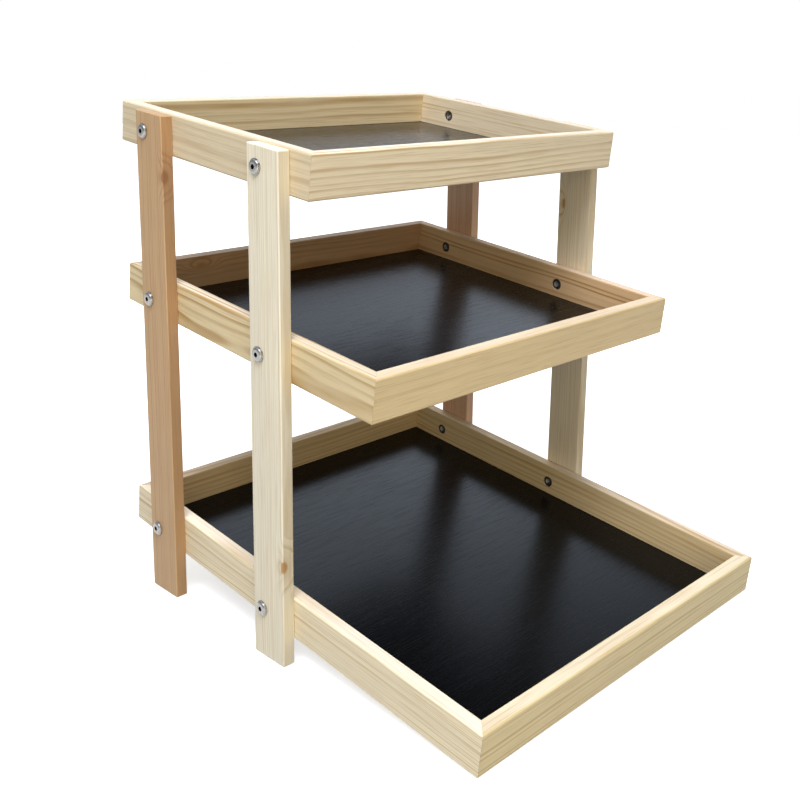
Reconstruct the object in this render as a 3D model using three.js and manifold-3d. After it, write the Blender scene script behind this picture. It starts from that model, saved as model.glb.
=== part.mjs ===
// Three-tier sloping display stand: mitred pine trays with black panels, bolted between upright leg slats.
// Millimetres. +X is right, -Y is the front where the trays step down, +Z is up.
// The origin is on the floor, at the middle of the stand's footprint.

import * as THREE from 'three';
import { mergeVertices } from 'three/addons/utils/BufferGeometryUtils.js';
import Module from 'manifold-3d';

const wasm = await Module();
wasm.setup();

// Trays: outside sizes of the mitred frames, and how far each tier stands above the one below
const TRAY_WIDTH = 400;
const BOTTOM_TRAY_DEPTH = 458;
const MIDDLE_TRAY_DEPTH = 344;
const TOP_TRAY_DEPTH = 271.5;
const MIDDLE_TIER_RISE = 226.5;
const TOP_TIER_RISE = 153;
const SLOPE_DEGREES = 6.3;

// Rails: planed strip, rounded along the outer edges, with a groove for the panel
const RAIL_THICKNESS = 12.7;
const RAIL_HEIGHT = 37.4;
const RAIL_OUTER_RADIUS = 1.8;
const RAIL_INNER_RADIUS = 1;
const GROOVE_DEPTH = 6;
const GROOVE_LIP = 2;
const PANEL_THICKNESS = 3;

// Legs: flat slats, upright, with their tops cut to the slope of the trays
const LEG_WIDTH = 40;
const LEG_THICKNESS = 12;
const LEG_EDGE_RADIUS = 1.2;
const LEG_TOP_DROP = 1.2;
const REAR_LEG_SETBACK = 45.5;
const FRONT_LEG_SETBACK = 21.5;

// Connector bolts: flanged button heads with a hexagon socket
const BOLT_INSET = 11.5;
const BOLT_DIAMETER = 6;
const BOLT_THREAD_DIAMETER = 5.35;
const BOLT_TIP_CHAMFER = 0.7;
const BOLT_TIP_SETBACK = 2.4;
const BOLT_HEAD_DIAMETER = 13.6;
const BOLT_HEAD_HEIGHT = 2.5;
const BOLT_FLANGE_HEIGHT = 0.8;
const BOLT_CROWN_DIAMETER = 7;
const BOLT_SOCKET_FLATS = 4;
const BOLT_SOCKET_DEPTH = 1.8;

// Insert nuts: threaded sleeves sunk in the side rails, with a hexagon drive that faces the tray
const INSERT_DIAMETER = 11.2;
const INSERT_RECESS = 0.8;
const INSERT_EDGE_CHAMFER = 0.6;
const INSERT_SOCKET_FLATS = 6.4;
const INSERT_SOCKET_DEPTH = 4;

// Dowels: blind pins that stop each leg from turning on its single bolt
const DOWEL_INSET = 11.5;
const DOWEL_DIAMETER = 6;
const DOWEL_COVER = 3.5;
const DOWEL_CHAMFER = 0.6;

// Clearances
const JOINT_GAP = 0.3;
const PANEL_GAP = 0.25;
const MITRE_SETBACK = 0.2;
const HOLE_GAP = 0.3;
const THREAD_GAP = 0.15;

// Facets on a rounded edge and round a turned piece, and how far a cutter runs past a face
const EDGE_STEPS = 4;
const TURN_STEPS = 16;
const CUT_OVERRUN = 1;

const PINE = { color: '#d9c79c', roughness: 0.6, metalness: 0 };
const SPRUCE = { color: '#dbd1b8', roughness: 0.6, metalness: 0 };
const BROWN_PINE = { color: '#bb9d74', roughness: 0.6, metalness: 0 };
const BLACK_FOIL = { color: '#1b1b1d', roughness: 0.4, metalness: 0 };
const BEECH = { color: '#c9ab78', roughness: 0.7, metalness: 0 };
const NICKEL = { color: '#b9b6ae', roughness: 0.25, metalness: 1 };
const ZINC = { color: '#8f8c84', roughness: 0.4, metalness: 1 };

const slope = THREE.MathUtils.degToRad(SLOPE_DEGREES);
const slopeSin = Math.sin(slope);
const slopeCos = Math.cos(slope);

// A rounded edge that is tipped by the slope stands this far clear of where its sharp corner would be
const tippedEdgeLift = RAIL_OUTER_RADIUS * (slopeSin + slopeCos - 1);

// All rear lower edges lie in one upright plane, half of the footprint behind the origin
const rearY = (BOTTOM_TRAY_DEPTH * slopeCos + RAIL_HEIGHT * slopeSin) / 2;
const bottomRearZ = BOTTOM_TRAY_DEPTH * slopeSin - tippedEdgeLift;
const middleRearZ = bottomRearZ + MIDDLE_TIER_RISE;
const topRearZ = middleRearZ + TOP_TIER_RISE;
const tiers = [
  { name: 'bottom', depth: BOTTOM_TRAY_DEPTH, rearZ: bottomRearZ },
  { name: 'middle', depth: MIDDLE_TRAY_DEPTH, rearZ: middleRearZ },
  { name: 'top', depth: TOP_TRAY_DEPTH, rearZ: topRearZ },
];

// Each leg is placed by the Y of its front face
const legs = [
  { name: 'front', frontY: rearY - TOP_TRAY_DEPTH * slopeCos + FRONT_LEG_SETBACK, wood: SPRUCE },
  { name: 'rear', frontY: rearY - REAR_LEG_SETBACK - LEG_WIDTH, wood: BROWN_PINE },
];
const sides = [
  { name: 'left', sign: -1 },
  { name: 'right', sign: 1 },
];

const railFaceX = TRAY_WIDTH / 2;
const legInnerX = railFaceX + JOINT_GAP;
const legOuterX = legInnerX + LEG_THICKNESS;
const boreZ = RAIL_HEIGHT / 2;

const dowelSpan = legOuterX - DOWEL_COVER - (railFaceX - RAIL_THICKNESS + DOWEL_COVER);
const dowelHoleRadius = DOWEL_DIAMETER / 2 + HOLE_GAP;
const insertLength = RAIL_THICKNESS - INSERT_RECESS;
const insertHoleRadius = INSERT_DIAMETER / 2 + HOLE_GAP;
const boltLength = legOuterX + JOINT_GAP - (railFaceX - RAIL_THICKNESS) - INSERT_RECESS - BOLT_TIP_SETBACK;

// Height of a tier's own plane, a given distance above its underside, at a given Y
function planeHeight(tier, above, y) {
  return tier.rearZ + (above + (y - rearY) * slopeSin) / slopeCos;
}

// Where a tier's bores cross a leg: the Y and Z of the bore's axis
function borePoint(tier, y) {
  return { y, z: planeHeight(tier, boreZ, y) };
}

function boltY(leg) {
  return leg.frontY + LEG_WIDTH - BOLT_INSET;
}

function dowelY(leg) {
  return leg.frontY + DOWEL_INSET;
}

// A point's distance in front of the tier's rear lower edge, measured along the slope
function alongTray(tier, point) {
  return (rearY - point.y) * slopeCos - (point.z - tier.rearZ) * slopeSin;
}

function makeMesh(name, geometry, finish) {
  const mesh = new THREE.Mesh(geometry, new THREE.MeshStandardMaterial(finish));
  mesh.name = name;
  return mesh;
}

function toSolid(geometry) {
  const bare = geometry.clone();
  bare.deleteAttribute('normal');
  bare.deleteAttribute('uv');
  const merged = mergeVertices(bare, 1e-4);
  return new wasm.Manifold(new wasm.Mesh({
    numProp: 3,
    vertProperties: new Float32Array(merged.attributes.position.array),
    triVerts: new Uint32Array(merged.index.array),
  }));
}

function toGeometry(solid) {
  const mesh = solid.getMesh();
  const geometry = new THREE.BufferGeometry();
  geometry.setAttribute('position', new THREE.BufferAttribute(mesh.vertProperties, 3));
  geometry.setIndex(new THREE.BufferAttribute(mesh.triVerts, 1));
  return geometry;
}

function cut(geometry, cutters) {
  const solid = cutters.reduce((left, cutter) => left.subtract(toSolid(cutter)), toSolid(geometry));
  return toGeometry(solid);
}

// A cylinder or hexagon along Y, from one Y to another
function plugAlongY(radius, steps, x, fromY, toY, z) {
  const plug = new THREE.CylinderGeometry(radius, radius, toY - fromY, steps);
  return plug.translate(x, (fromY + toY) / 2, z);
}

// A cylinder along X, from one X to another
function plugAlongX(radius, fromX, toX, y, z) {
  const plug = new THREE.CylinderGeometry(radius, radius, Math.abs(toX - fromX), TURN_STEPS);
  return plug.rotateZ(Math.PI / 2).translate((fromX + toX) / 2, y, z);
}

// Cross-section of a rail: x runs inward from the outer face, y up from the underside
function railProfile() {
  const outer = RAIL_OUTER_RADIUS;
  const inner = RAIL_INNER_RADIUS;
  const grooveX = RAIL_THICKNESS - GROOVE_DEPTH;
  const grooveTop = GROOVE_LIP + PANEL_THICKNESS + 2 * PANEL_GAP;
  const profile = new THREE.Shape();
  profile.moveTo(outer, 0);
  profile.lineTo(RAIL_THICKNESS, 0);
  profile.lineTo(RAIL_THICKNESS, GROOVE_LIP);
  profile.lineTo(grooveX, GROOVE_LIP);
  profile.lineTo(grooveX, grooveTop);
  profile.lineTo(RAIL_THICKNESS, grooveTop);
  profile.lineTo(RAIL_THICKNESS, RAIL_HEIGHT - inner);
  profile.absarc(RAIL_THICKNESS - inner, RAIL_HEIGHT - inner, inner, 0, Math.PI / 2, false);
  profile.lineTo(outer, RAIL_HEIGHT);
  profile.absarc(outer, RAIL_HEIGHT - outer, outer, Math.PI / 2, Math.PI, false);
  profile.lineTo(0, outer);
  profile.absarc(outer, outer, outer, Math.PI, 1.5 * Math.PI, false);
  return profile;
}

// A rail along X with both ends mitred: outer face at y = 0, inside towards +Y, underside at z = 0
function railGeometry(length) {
  const geometry = new THREE.ExtrudeGeometry(railProfile(), {
    depth: length,
    bevelEnabled: false,
    curveSegments: EDGE_STEPS,
  });
  const position = geometry.attributes.position;
  for (let i = 0; i < position.count; i += 1) {
    const inward = position.getX(i);
    const up = position.getY(i);
    const atStart = position.getZ(i) < length / 2;
    const end = length / 2 - inward - MITRE_SETBACK;
    position.setXYZ(i, atStart ? -end : end, inward, up);
  }
  return geometry;
}

// Bores through a side rail for the insert nuts, and blind holes in its outer face for the dowels
function sideRailBores(tier, side) {
  const dowelDepth = RAIL_THICKNESS - DOWEL_COVER + HOLE_GAP;
  return legs.flatMap((leg) => {
    const boltAlong = alongTray(tier, borePoint(tier, boltY(leg)));
    const dowelAlong = alongTray(tier, borePoint(tier, dowelY(leg)));
    const boltX = side.sign * (tier.depth / 2 - boltAlong);
    const dowelX = side.sign * (tier.depth / 2 - dowelAlong);
    return [
      plugAlongY(insertHoleRadius, TURN_STEPS, boltX, -CUT_OVERRUN, RAIL_THICKNESS + CUT_OVERRUN, boreZ),
      plugAlongY(dowelHoleRadius, TURN_STEPS, dowelX, -CUT_OVERRUN, dowelDepth, boreZ),
    ];
  });
}

function makeTray(tier) {
  const tray = new THREE.Group();
  tray.position.set(0, rearY, tier.rearZ);
  tray.rotation.x = slope;

  const front = makeMesh(`${tier.name}_tray_front_rail`, railGeometry(TRAY_WIDTH), PINE);
  front.position.y = -tier.depth;
  const back = makeMesh(`${tier.name}_tray_back_rail`, railGeometry(TRAY_WIDTH), PINE);
  back.rotation.z = Math.PI;
  tray.add(front, back);

  for (const side of sides) {
    const geometry = cut(railGeometry(tier.depth), sideRailBores(tier, side));
    const rail = makeMesh(`${tier.name}_tray_${side.name}_rail`, geometry, PINE);
    rail.position.set(side.sign * railFaceX, -tier.depth / 2, 0);
    rail.rotation.z = side.sign * Math.PI / 2;
    tray.add(rail);
  }

  const tongue = GROOVE_DEPTH - PANEL_GAP - RAIL_THICKNESS;
  const sheet = new THREE.BoxGeometry(
    TRAY_WIDTH + 2 * tongue,
    tier.depth + 2 * tongue,
    PANEL_THICKNESS,
  );
  const panel = makeMesh(`${tier.name}_tray_panel`, sheet, BLACK_FOIL);
  panel.position.set(0, -tier.depth / 2, GROOVE_LIP + PANEL_GAP + PANEL_THICKNESS / 2);
  tray.add(panel);
  return tray;
}

// A leg slat: foot flat on the floor, top parallel to the trays, long edges rounded on both faces
function makeLeg(leg, side) {
  const topTier = tiers[tiers.length - 1];
  const rearFaceY = leg.frontY + LEG_WIDTH;
  const outline = new THREE.Shape();
  outline.moveTo(leg.frontY, 0);
  outline.lineTo(rearFaceY, 0);
  outline.lineTo(rearFaceY, planeHeight(topTier, RAIL_HEIGHT, rearFaceY) - LEG_TOP_DROP);
  outline.lineTo(leg.frontY, planeHeight(topTier, RAIL_HEIGHT, leg.frontY) - LEG_TOP_DROP);

  const slat = new THREE.ExtrudeGeometry(outline, {
    depth: LEG_THICKNESS - 2 * LEG_EDGE_RADIUS,
    bevelThickness: LEG_EDGE_RADIUS,
    bevelSize: LEG_EDGE_RADIUS,
    bevelOffset: -LEG_EDGE_RADIUS,
    bevelSegments: EDGE_STEPS,
  });
  const outlineToUpright = new THREE.Matrix4().makeBasis(
    new THREE.Vector3(0, 1, 0),
    new THREE.Vector3(0, 0, 1),
    new THREE.Vector3(1, 0, 0),
  );
  slat.applyMatrix4(outlineToUpright);
  const middleX = side.sign * (legInnerX + legOuterX) / 2;
  slat.translate(middleX - LEG_THICKNESS / 2 + LEG_EDGE_RADIUS, 0, 0);

  const innerX = side.sign * (legInnerX - CUT_OVERRUN);
  const outerX = side.sign * (legOuterX + CUT_OVERRUN);
  const dowelEndX = side.sign * (legOuterX - DOWEL_COVER + HOLE_GAP);
  const cutters = tiers.flatMap((tier) => {
    const bolt = borePoint(tier, boltY(leg));
    const dowel = borePoint(tier, dowelY(leg));
    return [
      plugAlongX(BOLT_DIAMETER / 2 + HOLE_GAP, innerX, outerX, bolt.y, bolt.z),
      plugAlongX(dowelHoleRadius, innerX, dowelEndX, dowel.y, dowel.z),
    ];
  });
  return makeMesh(`${leg.name}_${side.name}_leg`, cut(slat, cutters), leg.wood);
}

// Turns a profile of radius and height pairs about Y
function turned(profile) {
  const points = profile.map(([radius, height]) => new THREE.Vector2(radius, height));
  return new THREE.LatheGeometry(points, TURN_STEPS);
}

// A bolt along Y: underside of the head at y = 0, shank downwards, socket at the top
function boltGeometry() {
  const head = BOLT_HEAD_DIAMETER / 2;
  const crown = BOLT_CROWN_DIAMETER / 2;
  const shank = BOLT_DIAMETER / 2;
  const thread = BOLT_THREAD_DIAMETER / 2;
  const threadStart = -(LEG_THICKNESS + JOINT_GAP);
  const dome = [];
  for (let step = 0; step <= EDGE_STEPS; step += 1) {
    const angle = (step / EDGE_STEPS) * (Math.PI / 2);
    dome.push([
      crown + (head - crown) * Math.cos(angle),
      BOLT_FLANGE_HEIGHT + (BOLT_HEAD_HEIGHT - BOLT_FLANGE_HEIGHT) * Math.sin(angle),
    ]);
  }
  const profile = [
    [0, -boltLength],
    [thread - BOLT_TIP_CHAMFER, -boltLength],
    [thread, -boltLength + BOLT_TIP_CHAMFER],
    [thread, threadStart],
    [shank, threadStart],
    [shank, 0],
    [head, 0],
    ...dome,
    [0, BOLT_HEAD_HEIGHT],
  ];
  const socketRadius = BOLT_SOCKET_FLATS / Math.sqrt(3);
  const socketFloor = BOLT_HEAD_HEIGHT - BOLT_SOCKET_DEPTH;
  const socket = plugAlongY(socketRadius, 6, 0, socketFloor, BOLT_HEAD_HEIGHT + CUT_OVERRUN, 0);
  return cut(turned(profile), [socket]);
}

// An insert nut along Y: its outer end at y = 0, its drive socket at the lower end
function insertGeometry() {
  const outer = INSERT_DIAMETER / 2;
  const bore = BOLT_THREAD_DIAMETER / 2 + THREAD_GAP;
  const profile = [
    [bore, -insertLength],
    [outer - INSERT_EDGE_CHAMFER, -insertLength],
    [outer, -insertLength + INSERT_EDGE_CHAMFER],
    [outer, 0],
    [bore, 0],
    [bore, -insertLength],
  ];
  const socketRadius = INSERT_SOCKET_FLATS / Math.sqrt(3);
  const socketTop = -insertLength + INSERT_SOCKET_DEPTH;
  const socket = plugAlongY(socketRadius, 6, 0, -insertLength - CUT_OVERRUN, socketTop, 0);
  return cut(turned(profile), [socket]);
}

// A dowel along Y, centred on the origin
function dowelGeometry() {
  const radius = DOWEL_DIAMETER / 2;
  const half = dowelSpan / 2;
  return turned([
    [0, -half],
    [radius - DOWEL_CHAMFER, -half],
    [radius, -half + DOWEL_CHAMFER],
    [radius, half - DOWEL_CHAMFER],
    [radius - DOWEL_CHAMFER, half],
    [0, half],
  ]);
}

// Lays a piece made along Y across the stand, with its upper end pointing out past the legs
function layAcross(mesh, side, fromMiddle, axis) {
  mesh.rotation.z = -side.sign * Math.PI / 2;
  mesh.position.set(side.sign * fromMiddle, axis.y, axis.z);
  return mesh;
}

// Bolt, insert nut and dowel where one leg crosses one tier
function makeJoint(tier, leg, side) {
  const joint = new THREE.Group();
  const place = `${tier.name}_${leg.name}_${side.name}`;
  const boltAxis = borePoint(tier, boltY(leg));
  const dowelAxis = borePoint(tier, dowelY(leg));
  const dowelMiddle = (legOuterX + railFaceX - RAIL_THICKNESS) / 2;
  const bolt = makeMesh(`${place}_bolt`, boltGeometry(), NICKEL);
  const insert = makeMesh(`${place}_insert_nut`, insertGeometry(), ZINC);
  const dowel = makeMesh(`${place}_dowel`, dowelGeometry(), BEECH);
  joint.add(
    layAcross(bolt, side, legOuterX + JOINT_GAP, boltAxis),
    layAcross(insert, side, railFaceX, boltAxis),
    layAcross(dowel, side, dowelMiddle, dowelAxis),
  );
  return joint;
}

const stand = new THREE.Group();
for (const tier of tiers) {
  stand.add(makeTray(tier));
}
for (const side of sides) {
  for (const leg of legs) {
    stand.add(makeLeg(leg, side));
    for (const tier of tiers) {
      stand.add(makeJoint(tier, leg, side));
    }
  }
}

export default stand;
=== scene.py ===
"""Looks of a three-tier sloping display stand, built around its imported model.

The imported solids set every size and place. Rails, legs, bolts and insert nuts are remodelled here with smooth
rounded edges, the black panels and the hidden dowels keep their solids, and each piece gets its real finish.
"""

import logging
import math
from collections.abc import Callable, Iterable, Sequence
from dataclasses import dataclass, field
from enum import Enum
from itertools import product

import bpy
from bpy.types import Material, NodeSocket, NodeTree, Object
from mathutils import Matrix, Vector


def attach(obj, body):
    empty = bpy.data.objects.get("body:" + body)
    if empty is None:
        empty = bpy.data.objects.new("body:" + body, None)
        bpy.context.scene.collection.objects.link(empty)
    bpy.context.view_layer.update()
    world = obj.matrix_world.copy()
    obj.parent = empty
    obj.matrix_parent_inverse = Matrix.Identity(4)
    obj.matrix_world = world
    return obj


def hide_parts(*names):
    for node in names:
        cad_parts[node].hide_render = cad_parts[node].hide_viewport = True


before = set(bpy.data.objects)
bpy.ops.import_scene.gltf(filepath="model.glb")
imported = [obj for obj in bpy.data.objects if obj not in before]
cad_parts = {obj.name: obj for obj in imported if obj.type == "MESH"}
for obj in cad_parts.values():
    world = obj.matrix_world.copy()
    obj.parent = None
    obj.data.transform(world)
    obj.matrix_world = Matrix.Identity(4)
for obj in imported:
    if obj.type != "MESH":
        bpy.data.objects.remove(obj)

Span = tuple[float, float]
Point = tuple[float, float, float]
Colour = tuple[float, float, float, float]

LOG = logging.getLogger("display_stand")
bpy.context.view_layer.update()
BODY = "root"
MM = 0.001
TOUCH = 1e-6
CUT_OVERRUN = 0.001
SMOOTH_ANGLE = math.radians(30)
HEX_SIDES = 6
# A face looks along an axis when its normal's share along it is above this.
FACING = 0.99
# Cream for a painted highlight on the rails' top faces, where the light falls on them.
TOP_HIGHLIGHT_CREAM = "#fff3e4"
NO_KNOT = (9999.0, 9999.0, 9999.0)

# The Mix node has sockets for every kind of value. These are the ones for colours: share, first and second.
COLOUR_MIX = {"data_type": "RGBA", "sockets": (0, 6, 7), "output": 2}
# A Map Range node that eases in and out.
EASED = {"interpolation_type": "SMOOTHSTEP"}


class Spot(Enum):
    """A place in the stand."""

    @property
    def word(self) -> str:
        """The place as it stands in the names of nodes."""
        return self.name.lower()


class Tier(Spot):
    """The three trays, counted from below."""

    BOTTOM = 0
    MIDDLE = 1
    TOP = 2


class LegRow(Spot):
    """The front and the rear pair of legs."""

    FRONT = 0
    REAR = 1


class Side(Spot):
    """The two sides of the stand, with the sign of their X."""

    LEFT = -1
    RIGHT = 1


class RailSpot(Spot):
    """Where a rail lies in its tray, with the turn about the tray's upright axis that takes it there."""

    FRONT = 0.0
    BACK = math.pi
    LEFT = -math.pi / 2
    RIGHT = math.pi / 2


class GrainCut(Enum):
    """How a board was sawn: how far the log's heart lies through it and across it, in millimetres."""

    FLAT = (46.0, 6.0)
    RIFT = (34.0, -52.0)
    QUARTER = (6.0, -90.0)


@dataclass(frozen=True)
class StandSizes:
    """Sizes of the stand in metres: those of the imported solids, apart from a tighter gap at the mitres."""

    tray_width: float = 0.400
    bottom_depth: float = 0.458
    middle_depth: float = 0.344
    top_depth: float = 0.2715
    middle_rise: float = 0.2265
    top_rise: float = 0.153
    slope: float = math.radians(6.3)
    rail_thickness: float = 0.0127
    rail_height: float = 0.0374
    rail_outer_radius: float = 0.0018
    rail_inner_radius: float = 0.001
    groove_low: float = 0.002
    groove_high: float = 0.0055
    groove_depth: float = 0.006
    mitre_setback: float = 0.00005
    leg_width: float = 0.040
    leg_thickness: float = 0.012
    leg_edge_radius: float = 0.0012
    leg_top_drop: float = 0.0012
    rear_leg_setback: float = 0.0455
    front_leg_setback: float = 0.0215
    joint_gap: float = 0.0003
    bolt_inset: float = 0.0115
    bolt_hole_radius: float = 0.0033
    insert_hole_radius: float = 0.0059
    insert_recess: float = 0.0008
    dowel_inset: float = 0.0115
    dowel_hole_radius: float = 0.0033
    dowel_cover: float = 0.0032

    @property
    def rear_y(self) -> float:
        """The Y of the upright plane that holds the rear lower edge of every tray."""
        return (self.bottom_depth * math.cos(self.slope) + self.rail_height * math.sin(self.slope)) / 2

    @property
    def leg_inner_x(self) -> float:
        """How far the legs' inner faces stand from the middle plane."""
        return self.tray_width / 2 + self.joint_gap

    @property
    def leg_outer_x(self) -> float:
        """How far the legs' outer faces stand from the middle plane."""
        return self.leg_inner_x + self.leg_thickness

    def depth(self, tier: Tier) -> float:
        """A tray's depth along its slope."""
        return (self.bottom_depth, self.middle_depth, self.top_depth)[tier.value]

    def rear_z(self, tier: Tier) -> float:
        """Gives the height of a tray's rear lower edge.

        Args:
            tier: The tray.

        Returns:
            The edge's Z.
        """
        lift = self.rail_outer_radius * (math.sin(self.slope) + math.cos(self.slope) - 1)
        rise = (0.0, self.middle_rise, self.middle_rise + self.top_rise)[tier.value]
        return self.bottom_depth * math.sin(self.slope) - lift + rise

    def plane_height(self, tier: Tier, above: float, y: float) -> float:
        """The height at y of a plane that lies along a tray, above its underside."""
        run = (y - self.rear_y) * math.sin(self.slope)
        return self.rear_z(tier) + (above + run) / math.cos(self.slope)

    def leg_front_y(self, row: LegRow) -> float:
        """Gives the front face of a pair of legs.

        Args:
            row: The pair.

        Returns:
            The face's Y.
        """
        if row is LegRow.FRONT:
            return self.rear_y - self.top_depth * math.cos(self.slope) + self.front_leg_setback
        return self.rear_y - self.rear_leg_setback - self.leg_width

    def bolt_y(self, row: LegRow) -> float:
        """The Y of a leg's bolts."""
        return self.leg_front_y(row) + self.leg_width - self.bolt_inset

    def dowel_y(self, row: LegRow) -> float:
        """The Y of a leg's dowels."""
        return self.leg_front_y(row) + self.dowel_inset

    def bore_z(self, tier: Tier, y: float) -> float:
        """The height at which a tray's bores cross a leg."""
        return self.plane_height(tier, self.rail_height / 2, y)


@dataclass(frozen=True)
class Board:
    """One board's own wood.

    Lengths are in millimetres. The ground is the colour between the growth rings, ring is their spacing, and
    lines is how strong they are. The knot is a point: along the board, through it and across it. The edge is
    the ground of its lower narrow face, the front face on a leg, where a darker colour is painted shade.
    """

    cut: GrainCut
    start: float
    ground: str
    ring: float
    lines: float
    knot: Point = NO_KNOT
    edge: str = ""


def linear(hex_colour: str) -> Colour:
    """Turns an sRGB hex colour to linear.

    Args:
        hex_colour: Six hex digits after a hash sign.

    Returns:
        Linear red, green and blue, and an alpha of 1.
    """
    shares = [int(hex_colour[i:i + 2], 16) / 255 for i in (1, 3, 5)]
    red, green, blue = (s / 12.92 if s <= 0.04045 else ((s + 0.055) / 1.055) ** 2.4 for s in shares)
    return red, green, blue, 1.0


def add_node(tree: NodeTree, kind: str, inputs: Sequence | dict = (), output: int | str = 0,
             sockets: Iterable[int] = range(5), **settings: object) -> NodeSocket | None:
    """Adds a shader node, sets it up and links it.

    Args:
        tree: The tree that gets the node.
        kind: Blender's name for the kind of shader node.
        inputs: Values or the outputs that feed them, by socket name or in order.
        output: The name or number of the output that is wanted.
        sockets: The sockets' numbers, where the inputs come in order.
        settings: The node's own settings.

    Returns:
        That output, or None where the node has none.
    """
    node = tree.nodes.new(f"ShaderNode{kind}")
    for name, value in settings.items():
        setattr(node, name, value)
    for key, value in inputs.items() if isinstance(inputs, dict) else zip(sockets, inputs):
        if isinstance(value, NodeSocket):
            tree.links.new(value, node.inputs[key])
        else:
            node.inputs[key].default_value = value
    return node.outputs[output] if node.outputs else None


def new_tree(name: str) -> tuple[Material, NodeTree]:
    """Makes an empty node material.

    Args:
        name: The real material's common name.

    Returns:
        The material and its empty tree.
    """
    material = bpy.data.materials.new(name)
    material.use_nodes = True
    material.node_tree.nodes.clear()
    return material, material.node_tree


def end_tree(tree: NodeTree, inputs: dict) -> None:
    """Ends a material's tree with a principled surface that has these inputs."""
    shader = add_node(tree, "BsdfPrincipled", inputs)
    add_node(tree, "OutputMaterial", {"Surface": shader})


def add_streaks(tree: NodeTree, place: NodeSocket, length: float, width: float, detail: float = 2.0,
                roughness: float = 0.5, output: str = "Fac") -> NodeSocket:
    """Adds a noise pattern that is drawn out along X.

    Args:
        tree: The tree that gets it.
        place: The point's place.
        length: The marks' length, in the unit of the place.
        width: Their width.
        detail: How many finer noises are added.
        roughness: How strong those are.
        output: The noise's output that is wanted.

    Returns:
        The noise.
    """
    space = add_node(tree, "VectorMath", (place, (1 / length, 1 / width, 1 / width)), operation="MULTIPLY")
    shape = {"Vector": space, "Scale": 1.0, "Detail": detail, "Roughness": roughness}
    return add_node(tree, "TexNoise", shape, output)


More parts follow.
